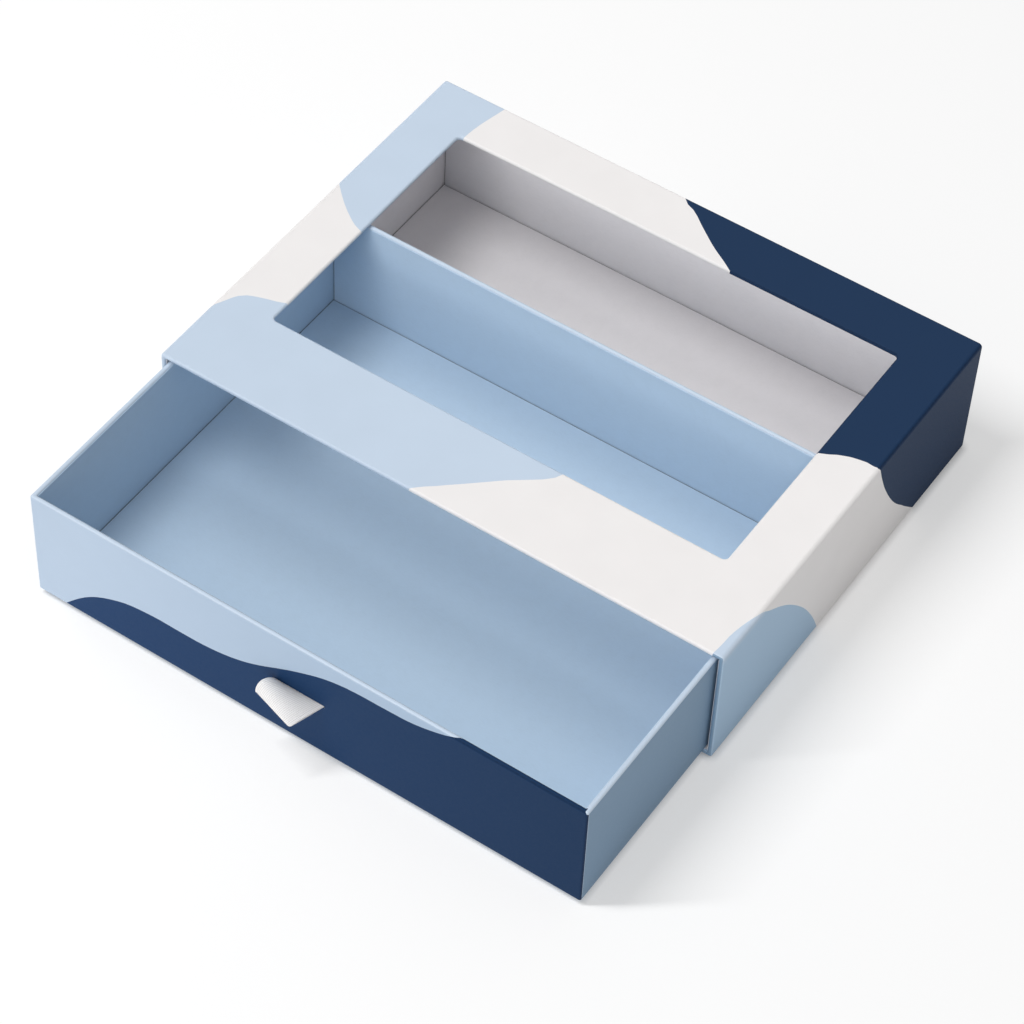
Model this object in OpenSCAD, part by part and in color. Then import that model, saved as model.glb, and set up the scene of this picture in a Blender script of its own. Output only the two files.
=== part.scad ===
// Rigid gift box: a wrapped board drawer that slides out of a wrapped board sleeve with a window.
// X runs across the box, Y from the mouth to the back, Z up, all in millimetres.
// The origin is the middle of the sleeve's underside. The drawer stands part way out.

/* [Sleeve] */
// Width of the sleeve, outside
sleeve_w = 300; // [200:1:400]
// Depth of the sleeve from mouth to back, outside
sleeve_d = 225; // [160:1:320]
// Height of the sleeve, outside
sleeve_h = 70; // [55:1:120]

/* [Window] */
// Frame left on each side of the window
window_side = 28; // [20:1:60]
// Frame left between the mouth and the window
window_front = 47; // [20:1:60]
// Frame left behind the window
window_back = 29; // [20:1:60]
// Radius of the window's corners
window_r = 2; // [0.5:0.5:8]

/* [Board and paper] */
// Thickness of the board
board_t = 2; // [1.5:0.25:3]
// Thickness of the printed wrap on the outside
wrap_t = 0.25; // [0.2:0.05:0.4]
// Thickness of the wrap where it is turned in and pasted under a lining
turn_t = 0.2; // [0.1:0.05:0.3]
// How far the wrap is turned in past a rim, a mouth or a base edge
turn_in = 15; // [8:1:15]
// Thickness of a lining sheet over a turned-in edge
lining_t = 0.25; // [0.2:0.05:0.5]
// Groove left open where two lining sheets meet in a corner
lining_gap = 0.5; // [0.2:0.1:1]
// How far a lining sheet stops short of the rim or the mouth
lining_drop = 1; // [0.5:0.5:4]
// Thickness of the stay tape that holds the board corners
tape_t = 0.1; // [0.05:0.05:0.15]
// Width of each leg of the stay tape
tape_w = 12; // [8:1:20]

/* [Drawer] */
// How far the drawer's front stands out of the mouth
pull_out = 98; // [2:1:200]
// How far the front of the closed drawer stands proud of the mouth
proud = 2; // [0:0.5:5]
// Gap on each side of the drawer
side_gap = 1.2; // [0.5:0.1:2]
// Gap under the drawer
base_gap = 0.2; // [0.1:0.1:0.5]
// Gap over the drawer
head_gap = 0.8; // [0.4:0.1:2]
// Gap left behind the closed drawer
rear_gap = 0.5; // [0.3:0.1:2]

/* [Ribbon pull] */
// Width of the ribbon
ribbon_w = 25; // [15:1:40]
// Thickness of the ribbon
ribbon_t = 0.4; // [0.3:0.05:0.5]
// Height of the ribbon slot above the sleeve's underside
slot_z = 36.2; // [30:0.1:40]
// Height of the slot
slot_h = 1.2; // [1.2:0.1:2]
// Reach of the loop at its left edge
reach_left = 10; // [8:0.5:20]
// Reach of the loop at its right edge
reach_right = 17.5; // [8:0.5:25]
// Rise of the loop's upper layer at the left and the right edge
rise = [6.2, 1]; // [0:0.1:8]
// Sag of the loop's lower layer at the left and the right edge
sag = [3, 4.5]; // [0:0.1:8]
// How far the tip of the loop leans to the left at the left and the right edge
lean = [3.8, 5]; // [0:0.1:8]
// Length of each tail pasted behind the front board
tail_l = 13; // [8:1:14]
// Thickness of the paper patch over the tails
patch_t = 0.2; // [0.1:0.05:0.3]

/* [Hidden] */
eps = 0.01;
past = 5;

// Wall layers, each measured in from the outside of its own box
board_in = wrap_t;
board_out = wrap_t + board_t;
turn_out = board_out + turn_t;
wall_t = turn_out + lining_t;

// Sleeve limits
sx = sleeve_w / 2;
mouth_y = -sleeve_d / 2;
back_y = sleeve_d / 2;

// Drawer limits, as it stands open
dx = sx - wall_t - side_gap;
drawer_d = sleeve_d - wall_t - rear_gap + proud;
front_y = mouth_y - pull_out;
rear_y = front_y + drawer_d;
low_z = wall_t + base_gap;
rim_z = sleeve_h - wall_t - head_gap;

// Ribbon slot, the recess pressed for the tails, and the loop
slot_play = 0.5;
layer_z = ribbon_t / 2 + 0.1;
recess_t = ribbon_t + patch_t;
recess_x = ribbon_w / 2 + 4;
recess_z = tail_l + 2;
loop_steps = 24;
loop_swell = 0.7;

board_grey = [0.56, 0.53, 0.49];
tape_kraft = [0.74, 0.62, 0.45];
wrap_blue = [0.72, 0.81, 0.91];
drawer_blue = [0.62, 0.73, 0.84];
sleeve_white = [0.90, 0.89, 0.90];
ribbon_white = [0.93, 0.92, 0.91];

// A block between two corners
module block(low, high) {
    translate(low)
        cube(high - low);
}

// The sleeve's outside drawn in by the same step on every side
module sleeve_block(step) {
    block([-sx + step, mouth_y + step, step], [sx - step, back_y - step, sleeve_h - step]);
}

// The sleeve's hollow at one layer of the wall, open through the mouth
module sleeve_hollow(step) {
    block([-sx + step, mouth_y - past, step], [sx - step, back_y - step, sleeve_h - step]);
}

// The drawer's outside drawn in by the same step on every side
module drawer_block(step) {
    block([-dx + step, front_y + step, low_z + step], [dx - step, rear_y - step, rim_z - step]);
}

// The drawer's hollow at one layer of the wall, open through the top
module drawer_hollow(step) {
    block([-dx + step, front_y + step, low_z + step], [dx - step, rear_y - step, rim_z + past]);
}

// A rectangle with round corners, from its low corner to its high corner
module round_rect(low, high, r) {
    translate([low[0] + r, low[1]])
        square([high[0] - low[0] - 2 * r, high[1] - low[1]]);
    translate([low[0], low[1] + r])
        square([high[0] - low[0], high[1] - low[1] - 2 * r]);
    for (x = [low[0] + r, high[0] - r], y = [low[1] + r, high[1] - r])
        translate([x, y])
            circle(r, $fn = 48);
}

// The window as a prism, larger than the finished window by grow on every side
module window_prism(grow, z0, z1) {
    translate([0, 0, z0])
        linear_extrude(z1 - z0)
            round_rect(
                [-sx + window_side - grow, mouth_y + window_front - grow],
                [sx - window_side + grow, back_y - window_back + grow],
                window_r + grow
            );
}

// ---- sleeve boards ----

module sleeve_top_board() {
    color(board_grey)
        difference() {
            block(
                [-sx + board_in, mouth_y + board_in, sleeve_h - board_out],
                [sx - board_in, back_y - board_in, sleeve_h - board_in]
            );
            window_prism(wrap_t, sleeve_h - board_out - past, sleeve_h + past);
        }
}

module sleeve_bottom_board() {
    color(board_grey)
        block(
            [-sx + board_in, mouth_y + board_in, board_in],
            [sx - board_in, back_y - board_in, board_out]
        );
}

module sleeve_left_board() {
    color(board_grey)
        block(
            [-sx + board_in, mouth_y + board_in, board_out],
            [-sx + board_out, back_y - board_in, sleeve_h - board_out]
        );
}

module sleeve_right_board() {
    color(board_grey)
        block(
            [sx - board_out, mouth_y + board_in, board_out],
            [sx - board_in, back_y - board_in, sleeve_h - board_out]
        );
}

module sleeve_back_board() {
    color(board_grey)
        block(
            [-sx + board_out, back_y - board_out, board_out],
            [sx - board_out, back_y - board_in, sleeve_h - board_out]
        );
}

// Stay tape over the four long edges and the two back corners of the boards
module sleeve_corner_tapes() {
    leg = board_in + tape_w;
    color(tape_kraft)
        difference() {
            intersection() {
                sleeve_block(board_in - tape_t);
                union() {
                    for (side = [-1, 1], z = [0, sleeve_h])
                        translate([side * sx, 0, z])
                            cube([2 * leg, sleeve_d - 2 * board_in, 2 * leg], center = true);
                    for (side = [-1, 1])
                        translate([side * sx, back_y, sleeve_h / 2])
                            cube([2 * leg, 2 * leg, sleeve_h], center = true);
                }
            }
            sleeve_block(board_in);
        }
}

// ---- sleeve papers ----

// The part of the underside that the base sheet covers, drawn in by step from the turned edge
module sleeve_base_middle(step, z0, z1) {
    block(
        [-sx + turn_in + step, mouth_y + turn_in + step, z0],
        [sx - turn_in - step, back_y - turn_in - step, z1]
    );
}

// The wrap turned in round the mouth and round the window, under the linings
module sleeve_turn_ins() {
    difference() {
        block(
            [-sx + board_out, mouth_y, board_out],
            [sx - board_out, mouth_y + turn_in, sleeve_h - board_out]
        );
        sleeve_hollow(turn_out);
    }
    difference() {
        window_prism(turn_in, sleeve_h - turn_out, sleeve_h - board_out);
        window_prism(0, 0, sleeve_h + past);
    }
    difference() {
        window_prism(wrap_t, sleeve_h - turn_out, sleeve_h - board_in);
        window_prism(0, 0, sleeve_h + past);
    }
}

module sleeve_wrap() {
    color(wrap_blue)
        difference() {
            union() {
                difference() {
                    sleeve_block(0);
                    sleeve_block(board_in);
                    sleeve_hollow(turn_out);
                    sleeve_base_middle(0, -past, past);
                    window_prism(0, sleeve_h / 2, sleeve_h + past);
                }
                sleeve_turn_ins();
            }
            sleeve_corner_tapes();
        }
}

module sleeve_base_sheet() {
    color(wrap_blue)
        sleeve_base_middle(lining_gap, 0, wrap_t);
}

module sleeve_lining_floor() {
    edge = wall_t + lining_gap;
    color(sleeve_white)
        difference() {
            block(
                [-sx + edge, mouth_y + lining_drop, board_out],
                [sx - edge, back_y - edge, wall_t]
            );
            sleeve_turn_ins();
        }
}

// One side lining; side is -1 on the left and 1 on the right
module sleeve_side_lining(side) {
    color(sleeve_white)
        difference() {
            block(
                [side > 0 ? sx - wall_t : -sx + board_out, mouth_y + lining_drop, board_out],
                [side > 0 ? sx - board_out : -sx + wall_t, back_y - board_out, sleeve_h - wall_t]
            );
            sleeve_turn_ins();
        }
}

module sleeve_lining_left() {
    sleeve_side_lining(-1);
}

module sleeve_lining_right() {
    sleeve_side_lining(1);
}

module sleeve_lining_back() {
    edge = wall_t + lining_gap;
    color(sleeve_white)
        block(
            [-sx + edge, back_y - wall_t, board_out],
            [sx - edge, back_y - board_out, sleeve_h - wall_t]
        );
}

module sleeve_lining_ceiling() {
    color(sleeve_white)
        difference() {
            block(
                [-sx + board_out, mouth_y + lining_drop, sleeve_h - wall_t],
                [sx - board_out, back_y - board_out, sleeve_h - board_out]
            );
            window_prism(lining_drop, 0, sleeve_h + past);
            sleeve_turn_ins();
        }
}

// ---- drawer boards ----

module drawer_floor_board() {
    color(board_grey)
        block(
            [-dx + board_in, front_y + board_in, low_z + board_in],
            [dx - board_in, rear_y - board_in, low_z + board_out]
        );
}

module ribbon_slot() {
    block(
        [-ribbon_w / 2 - slot_play, front_y - past, slot_z - slot_h / 2],
        [ribbon_w / 2 + slot_play, front_y + board_out + past, slot_z + slot_h / 2]
    );
}

module tail_recess() {
    block(
        [-recess_x, front_y + board_out - recess_t, slot_z - recess_z],
        [recess_x, front_y + board_out + past, slot_z + recess_z]
    );
}

module drawer_front_board() {
    color(board_grey)
        difference() {
            block(
                [-dx + board_in, front_y + board_in, low_z + board_out],
                [dx - board_in, front_y + board_out, rim_z - board_in]
            );
            ribbon_slot();
            tail_recess();
        }
}

module drawer_back_board() {
    color(board_grey)
        block(
            [-dx + board_in, rear_y - board_out, low_z + board_out],
            [dx - board_in, rear_y - board_in, rim_z - board_in]
        );
}

// One side board; side is -1 on the left and 1 on the right
module drawer_side_board(side) {
    color(board_grey)
        block(
            [side > 0 ? dx - board_out : -dx + board_in, front_y + board_out, low_z + board_out],
            [side > 0 ? dx - board_in : -dx + board_out, rear_y - board_out, rim_z - board_in]
        );
}

module drawer_left_board() {
    drawer_side_board(-1);
}

module drawer_right_board() {
    drawer_side_board(1);
}

// Stay tape over the four upright corners of the boards
module drawer_corner_tapes() {
    leg = board_in + tape_w;
    color(tape_kraft)
        difference() {
            intersection() {
                drawer_block(board_in - tape_t);
                for (side = [-1, 1], y = [front_y, rear_y])
                    translate([side * dx, y, (low_z + rim_z) / 2])
                        cube([2 * leg, 2 * leg, rim_z - low_z - 2 * board_in], center = true);
            }
            drawer_block(board_in);
        }
}

// ---- drawer papers ----

// The part of the underside that the base sheet covers, drawn in by step from the turned edge
module drawer_base_middle(step, z0, z1) {
    block(
        [-dx + turn_in + step, front_y + turn_in + step, z0],
        [dx - turn_in - step, rear_y - turn_in - step, z1]
    );
}

// The wrap turned down inside the rim, under the linings
module drawer_turn_ins() {
    difference() {
        block(
            [-dx + board_out, front_y + board_out, rim_z - turn_in],
            [dx - board_out, rear_y - board_out, rim_z]
        );
        drawer_hollow(turn_out);
    }
}

module drawer_wrap() {
    color(wrap_blue)
        difference() {
            union() {
                difference() {
                    drawer_block(0);
                    drawer_block(board_in);
                    drawer_hollow(turn_out);
                    drawer_base_middle(0, low_z - past, low_z + past);
                }
                drawer_turn_ins();
            }
            drawer_corner_tapes();
            ribbon_slot();
        }
}

module drawer_base_sheet() {
    color(wrap_blue)
        drawer_base_middle(lining_gap, low_z, low_z + wrap_t);
}

module drawer_lining_floor() {
    edge = wall_t + lining_gap;
    color(drawer_blue)
        block(
            [-dx + edge, front_y + edge, low_z + board_out],
            [dx - edge, rear_y - edge, low_z + wall_t]
        );
}

// An end lining between the two planes y0 and y1
module drawer_end_lining(y0, y1) {
    edge = wall_t + lining_gap;
    color(drawer_blue)
        difference() {
            block([-dx + edge, y0, low_z + board_out], [dx - edge, y1, rim_z - lining_drop]);
            drawer_turn_ins();
        }
}

module drawer_lining_front() {
    drawer_end_lining(front_y + board_out, front_y + wall_t);
}

module drawer_lining_back() {
    drawer_end_lining(rear_y - wall_t, rear_y - board_out);
}

// One side lining; side is -1 on the left and 1 on the right
module drawer_side_lining(side) {
    color(drawer_blue)
        difference() {
            block(
                [side > 0 ? dx - wall_t : -dx + board_out, front_y + board_out, low_z + board_out],
                [side > 0 ? dx - board_out : -dx + wall_t, rear_y - board_out, rim_z - lining_drop]
            );
            drawer_turn_ins();
        }
}

module drawer_lining_left() {
    drawer_side_lining(-1);
}

module drawer_lining_right() {
    drawer_side_lining(1);
}

// ---- ribbon pull ----

// A point of the loop's middle line, seen from the side as [out from the panel, height];
// turn goes from 0 at the slot over the tip at 180 and back to 360, edge is 0 left and 1 right
function loop_reach(edge) = edge == 0 ? reach_left : reach_right;
function loop_lift(turn, edge) = (turn < 180 ? rise[edge] : sag[edge]) * sin(turn) * pow(sin(turn / 2), loop_swell);
function loop_point(turn, edge) = [
    loop_reach(edge) * (1 - cos(turn)) / 2,
    slot_z + layer_z * cos(turn / 2) + loop_lift(turn, edge)
];

// The whole strip: upper tail, through the slot, round the loop, and back to the lower tail
tail_y = -(board_out - recess_t + ribbon_t / 2);
function strip(edge) = concat(
    [[tail_y, slot_z + tail_l], [tail_y, slot_z + layer_z]],
    [for (i = [0 : loop_steps]) loop_point(360 * i / loop_steps, edge)],
    [[tail_y, slot_z - layer_z], [tail_y, slot_z - tail_l]]
);

function unit(v) = v / norm(v);
function ahead(line, i) = unit(line[min(i + 1, len(line) - 1)] - line[min(i, len(line) - 2)]);
function behind(line, i) = unit(line[max(i, 1)] - line[max(i - 1, 0)]);
// Half the thickness off the line, mitred where the line turns
function side_step(line, i) =
    let (a = behind(line, i), b = ahead(line, i), m = unit([-(a + b)[1], (a + b)[0]]))
    m * (ribbon_t / 2) / max(0.7, m * [-a[1], a[0]]);
function lean_at(line, i, edge) = lean[edge] * max(0, line[i][0]) / loop_reach(edge);
function strip_point(line, i, edge, face) =
    let (p = line[i] + face * side_step(line, i))
    [(edge - 0.5) * ribbon_w - lean_at(line, i, edge), front_y - p[0], p[1]];

module ribbon_pull() {
    left = strip(0);
    right = strip(1);
    count = len(left);
    points = [
        for (i = [0 : count - 1])
            each [
                strip_point(left, i, 0, 1), strip_point(right, i, 1, 1),
                strip_point(right, i, 1, -1), strip_point(left, i, 0, -1)
            ]
    ];
    walls = [
        for (i = [0 : count - 2], k = [0 : 3])
            let (a = 4 * i + k, b = 4 * i + (k + 1) % 4)
            each [[a, b, b + 4], [a, b + 4, a + 4]]
    ];
    last = 4 * (count - 1);
    ends = [[0, 2, 1], [0, 3, 2], [last, last + 1, last + 2], [last, last + 2, last + 3]];
    color(ribbon_white)
        polyhedron(points, concat(walls, ends), convexity = 6);
}

module ribbon_patch() {
    color(tape_kraft)
        block(
            [-recess_x + slot_play, front_y + board_out - patch_t, slot_z - recess_z + slot_play],
            [recess_x - slot_play, front_y + board_out, slot_z + recess_z - slot_play]
        );
}

sleeve_top_board();
sleeve_bottom_board();
sleeve_left_board();
sleeve_right_board();
sleeve_back_board();
sleeve_corner_tapes();
sleeve_wrap();
sleeve_base_sheet();
sleeve_lining_floor();
sleeve_lining_left();
sleeve_lining_right();
sleeve_lining_back();
sleeve_lining_ceiling();
drawer_floor_board();
drawer_front_board();
drawer_back_board();
drawer_left_board();
drawer_right_board();
drawer_corner_tapes();
drawer_wrap();
drawer_base_sheet();
drawer_lining_floor();
drawer_lining_front();
drawer_lining_back();
drawer_lining_left();
drawer_lining_right();
ribbon_pull();
ribbon_patch();
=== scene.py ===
# %% [markdown]
# # A drawer gift box in wrapped board
#
# This lesson dresses a rigid gift box: a tray drawer that slides in a sleeve with a window in its top.
# The boards, linings and joint come from the construction model, and this script gives them their looks.
# Everything is in metres, but paper and board are easier to think about in millimetres, so sizes are
# written in millimetres and multiplied by MM where they reach Blender.

import math

import bmesh
import bpy
import numpy as np
from mathutils import Matrix, Vector


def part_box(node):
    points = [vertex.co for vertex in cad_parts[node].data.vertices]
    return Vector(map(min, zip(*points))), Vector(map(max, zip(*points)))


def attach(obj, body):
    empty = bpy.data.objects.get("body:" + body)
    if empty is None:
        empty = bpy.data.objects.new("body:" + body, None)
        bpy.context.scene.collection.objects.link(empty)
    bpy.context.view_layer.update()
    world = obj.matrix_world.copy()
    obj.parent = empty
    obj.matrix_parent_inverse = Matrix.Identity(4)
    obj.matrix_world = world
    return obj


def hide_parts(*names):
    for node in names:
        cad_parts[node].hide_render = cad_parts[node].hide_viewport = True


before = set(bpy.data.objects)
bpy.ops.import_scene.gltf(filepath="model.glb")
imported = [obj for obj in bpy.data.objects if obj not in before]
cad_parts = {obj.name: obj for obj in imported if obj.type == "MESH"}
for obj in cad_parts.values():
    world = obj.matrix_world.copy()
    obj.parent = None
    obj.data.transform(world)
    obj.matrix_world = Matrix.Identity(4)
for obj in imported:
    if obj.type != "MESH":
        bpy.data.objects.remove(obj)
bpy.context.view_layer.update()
MM = 0.001


def span(node):
    """A node's lowest and highest corner in millimetres."""
    low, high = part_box(node)
    return np.array(low) / MM, np.array(high) / MM


SLEEVE_LOW, SLEEVE_HIGH = span("sleeve_wrap")
DRAWER_LOW, DRAWER_HIGH = span("drawer_wrap")
print("sleeve", (SLEEVE_HIGH - SLEEVE_LOW).round(1), "mm, drawer", (DRAWER_HIGH - DRAWER_LOW).round(1), "mm")

# %% [markdown]
# ## The camera
#
# A product photo is taken from a fair way off with a long lens, so that the box keeps its proportions.
# A camera is placed here by the point it looks at, its compass direction, its height in degrees and its
# distance. It is turned a few degrees off level, which is the roll.

# %% Place the camera
AIM = Vector((0.2, -46.7, 0)) * MM
CAMERA_AZIMUTH = math.radians(31.874)
CAMERA_ELEVATION = math.radians(49.602)
CAMERA_ROLL = math.radians(3.014)
CAMERA_DISTANCE = 1620.7 * MM
LENS_MM = 123.28


def add_object(name, data):
    """An object for a mesh, a lamp or a camera, linked into the scene."""
    thing = bpy.data.objects.new(name, data)
    bpy.context.scene.collection.objects.link(thing)
    return thing


def toward(azimuth, elevation):
    """The unit vector from the box toward something at that azimuth and elevation."""
    flat = math.cos(elevation)
    return Vector((math.sin(azimuth) * flat, -math.cos(azimuth) * flat, math.sin(elevation)))


def place_camera():
    """Makes the camera and turns it by three axes: right, up and back."""
    back = toward(CAMERA_AZIMUTH, CAMERA_ELEVATION)
    level = Vector((math.cos(CAMERA_AZIMUTH), math.sin(CAMERA_AZIMUTH), 0))
    upright = back.cross(level)
    right = level * math.cos(CAMERA_ROLL) + upright * math.sin(CAMERA_ROLL)
    up = upright * math.cos(CAMERA_ROLL) - level * math.sin(CAMERA_ROLL)
    data = bpy.data.cameras.new("camera")
    data.lens = LENS_MM
    data.clip_start, data.clip_end = 0.05, 50
    camera = add_object("camera", data)
    turned = Matrix((right, up, back)).transposed().to_4x4()
    camera.matrix_world = Matrix.Translation(AIM + back * CAMERA_DISTANCE) @ turned
    bpy.context.scene.camera = camera
    return camera


camera = place_camera()
print("camera at", [round(c, 3) for c in camera.matrix_world.translation])

# %% [markdown]
# ## The studio
#
# Soft light from the upper left makes the top the brightest side, the front a little darker and the
# right side darker still. Three broad lamps give that, as large softboxes would. The key stands high over
# the front left. The front lamp is low and lights the drawer's back through the window. The rear lamp
# fills the drawer from behind. A dim white world fills the shadows. On a level surface they add up to
# about one, so that a colour on the top renders about as it is written.
#
# The photo's shadow on the table has a sharp end and a soft side, as a tall narrow softbox throws it. So
# the table has a lamp of its own. Blender's light linking keeps each lamp to its own objects: the three
# lamps leave the table out, and the tall one lights only the table.

# %% Light the box
# Each lamp's name, azimuth and elevation in degrees, and its light on a surface that faces it.
LAMPS = [
    ("key", -30, 72, 0.33),
    ("front", 0, 25, 0.36),
    ("rear", -135, 61, 0.23),
]
LAMP_SPREAD = math.radians(30)
WORLD_STRENGTH, SEEN_STRENGTH = 0.35, 1
# The table's lamp: azimuth, elevation and light, then its width, height and distance in metres.
TABLE_LAMP = (-46.5, 60, 0.78)
TABLE_LAMP_WIDTH, TABLE_LAMP_HEIGHT, TABLE_LAMP_AWAY = 0.2, 1.9, 3.0


def hang_lamp(name, kind, azimuth, elevation, energy, receivers):
    """A lamp over the box that points at it and lights only its receivers."""
    data = bpy.data.lights.new(name, kind)
    data.energy = energy
    lamp = add_object(name, data)
    direction = toward(math.radians(azimuth), math.radians(elevation))
    lamp.rotation_euler = direction.to_track_quat("Z", "Y").to_euler()
    lamp.location = direction * TABLE_LAMP_AWAY
    lamp.light_linking.receiver_collection = receivers
    return data, direction.z


def hang_lamps():
    """Hangs the three lamps of the box and the lamp of the table."""
    all_but_table = bpy.data.collections.new("all_but_table")
    table_only = bpy.data.collections.new("table_only")
    level_light = WORLD_STRENGTH
    for name, azimuth, elevation, light in LAMPS:
        data, slope = hang_lamp(name, "SUN", azimuth, elevation, light * math.pi, all_but_table)
        data.angle = LAMP_SPREAD
        level_light += light * slope
    print("light on a level surface:", round(level_light, 3))
    azimuth, elevation, light = TABLE_LAMP
    energy = light * (math.pi * TABLE_LAMP_AWAY)**2
    data, slope = hang_lamp("table_lamp", "AREA", azimuth, elevation, energy, table_only)
    data.shape = "RECTANGLE"
    data.size, data.size_y = TABLE_LAMP_WIDTH, TABLE_LAMP_HEIGHT
    print("light on the table:", round(WORLD_STRENGTH + light * slope, 3))


hang_lamps()

# %% Fill the shadows
def fill_world():
    """A dim white world that lights the shadows and that the camera sees as plain white."""
    world = bpy.data.worlds.new("studio")
    bpy.context.scene.world = world
    world.use_nodes = True
    nodes, links = world.node_tree.nodes, world.node_tree.links
    nodes.clear()
    out = nodes.new("ShaderNodeOutputWorld")
    mix = nodes.new("ShaderNodeMixShader")
    path = nodes.new("ShaderNodeLightPath")
    for socket, strength in ((1, WORLD_STRENGTH), (2, SEEN_STRENGTH)):
        background = nodes.new("ShaderNodeBackground")
        background.inputs["Strength"].default_value = strength
        background.inputs["Color"].default_value = (1, 1, 1, 1)
        links.new(background.outputs[0], mix.inputs[socket])
    links.new(path.outputs["Is Camera Ray"], mix.inputs["Fac"])
    links.new(mix.outputs[0], out.inputs[0])


fill_world()
bpy.context.scene.view_settings.view_transform = "Standard"
print("lamps:", sorted(lamp.name for lamp in bpy.data.lights))

# %% [markdown]
# ## Helpers for materials
#
# Every finish here is a Principled shader whose colour, roughness and bump come from small chains of
# noise. A helper that makes a node and sets its sockets by name keeps each recipe short. Texture places
# come from Object coordinates, so that a pattern stays put on its piece when the drawer moves.

# %% Start a material and add nodes
def start_material(name):
    """A new material with an empty node tree, its shader and its output linked."""
    material = bpy.data.materials.new(name)
    material.use_nodes = True
    tree = material.node_tree
    tree.nodes.clear()
    shader = tree.nodes.new("ShaderNodeBsdfPrincipled")
    out = tree.nodes.new("ShaderNodeOutputMaterial")
    tree.links.new(shader.outputs[0], out.inputs[0])
    return material, tree, shader


def add_node(tree, kind, settings=None, **sockets):
    """Makes a node. A socket's value is a number, a colour or another node's output."""
    node = tree.nodes.new("ShaderNode" + kind)
    for name, value in (settings or {}).items():
        setattr(node, name, value)
    for name, value in sockets.items():
        socket = node.inputs[int(name[1:])] if name[1:].isdigit() else node.inputs[name.replace("_", " ")]
        if isinstance(value, bpy.types.NodeSocket):
            tree.links.new(value, socket)
        else:
            socket.default_value = value
    return node

# %% Places, noise and mixing
def place_on_piece(tree, stretch=(1, 1, 1)):
    """Object coordinates, stretched along the axes so that a noise becomes streaks or fibres."""
    place = add_node(tree, "TexCoord")
    scaled = add_node(tree, "Mapping", Vector=place.outputs["Object"], Scale=stretch)
    return scaled.outputs[0]


def noise(tree, place, scale, detail=2.0, roughness=0.5):
    """Noise from 0 to 1; scale counts its waves per metre."""
    node = add_node(tree, "TexNoise", Vector=place, Scale=scale, Detail=detail, Roughness=roughness)
    return node.outputs["Fac"]


def calc(tree, operation, first, second):
    """One sum on two numbers or outputs."""
    return add_node(tree, "Math", {"operation": operation}, _0=first, _1=second).outputs[0]


def between(tree, factor, low, high, low_at=0.3, high_at=0.7):
    """Maps a noise to a range of numbers."""
    node = add_node(
        tree, "MapRange", Value=factor, From_Min=low_at, From_Max=high_at, To_Min=low, To_Max=high
    )
    return node.outputs[0]


def tint(tree, factor, first, second):
    """Mixes two colours, or a socket and a colour, by a factor."""
    node = add_node(tree, "Mix", {"data_type": "RGBA"})
    tree.links.new(factor, node.inputs[0])
    for socket, value in ((node.inputs[6], first), (node.inputs[7], second)):
        if isinstance(value, bpy.types.NodeSocket):
            tree.links.new(value, socket)
        else:
            socket.default_value = (*value, 1)
    return node.outputs[2]


def shade(colour, by):
    """A colour made lighter or darker by a share."""
    return tuple(min(1, c * (1 + by)) for c in colour)


def bump(tree, shader, height, distance_mm, strength=1.0, under=None):
    """Raises the surface by a height map, over another bump if one is given."""
    node = add_node(tree, "Bump", Height=height, Distance=distance_mm * MM, Strength=strength)
    if under is not None:
        tree.links.new(under, node.inputs["Normal"])
    tree.links.new(node.outputs[0], shader.inputs["Normal"])
    return node.outputs[0]

# %% [markdown]
# ## The floor
#
# The photo has a white table with no edges to be seen. A wide plane does that. Half of what the camera
# sees of it is plain white and half is lit paper white, which keeps the box's shadow but thins it. Light
# that bounces off the table gets half of that plain white. Within a few millimetres of the box the plain
# white fades, so that a dark line stays where the box meets the table.

# %% Lay the floor
FLOOR_HALF = 4.0
FLOOR_DROP = 0.1 * MM
FLOOR_WHITE = (0.98, 0.98, 0.98)
FLOOR_GLOW = 1.0
FLOOR_GLOW_SHARE = 0.5
BOUNCE_SHARE = 0.5
CONTACT_MM, CONTACT_POWER = 4, 1.5


def lay_floor():
    """A wide white plane that takes light from the table's lamp only."""
    mesh = bpy.data.meshes.new("floor")
    around = ((-1, -1), (1, -1), (1, 1), (-1, 1))
    corners = [(x * FLOOR_HALF, y * FLOOR_HALF, -FLOOR_DROP) for x, y in around]
    mesh.from_pydata(corners, [], [(0, 1, 2, 3)])
    floor = add_object("floor", mesh)
    material, tree, shader = start_material("studio_floor")
    shader.inputs["Base Color"].default_value = (*FLOOR_WHITE, 1)
    shader.inputs["Roughness"].default_value = 0.9
    shader.inputs["Specular IOR Level"].default_value = 0
    path = add_node(tree, "LightPath")
    open_sky = add_node(tree, "AmbientOcclusion", Distance=CONTACT_MM * MM).outputs["AO"]
    contact = calc(tree, "POWER", open_sky, CONTACT_POWER)
    ray = calc(tree, "MAXIMUM", path.outputs["Is Camera Ray"], BOUNCE_SHARE)
    share = calc(tree, "MULTIPLY", calc(tree, "MULTIPLY", ray, contact), FLOOR_GLOW_SHARE)
    glow = add_node(tree, "Emission", Color=(1, 1, 1, 1), Strength=FLOOR_GLOW)
    mix = add_node(tree, "MixShader", Fac=share, _1=shader.outputs[0], _2=glow.outputs[0])
    out = [n for n in tree.nodes if n.type == "OUTPUT_MATERIAL"][0]
    tree.links.new(mix.outputs[0], out.inputs[0])
    mesh.materials.append(material)
    bpy.data.collections["table_only"].objects.link(floor)
    left_out = bpy.data.collections["all_but_table"]
    left_out.objects.link(floor)
    left_out.collection_objects[0].light_linking.link_state = "EXCLUDE"


lay_floor()

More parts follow.
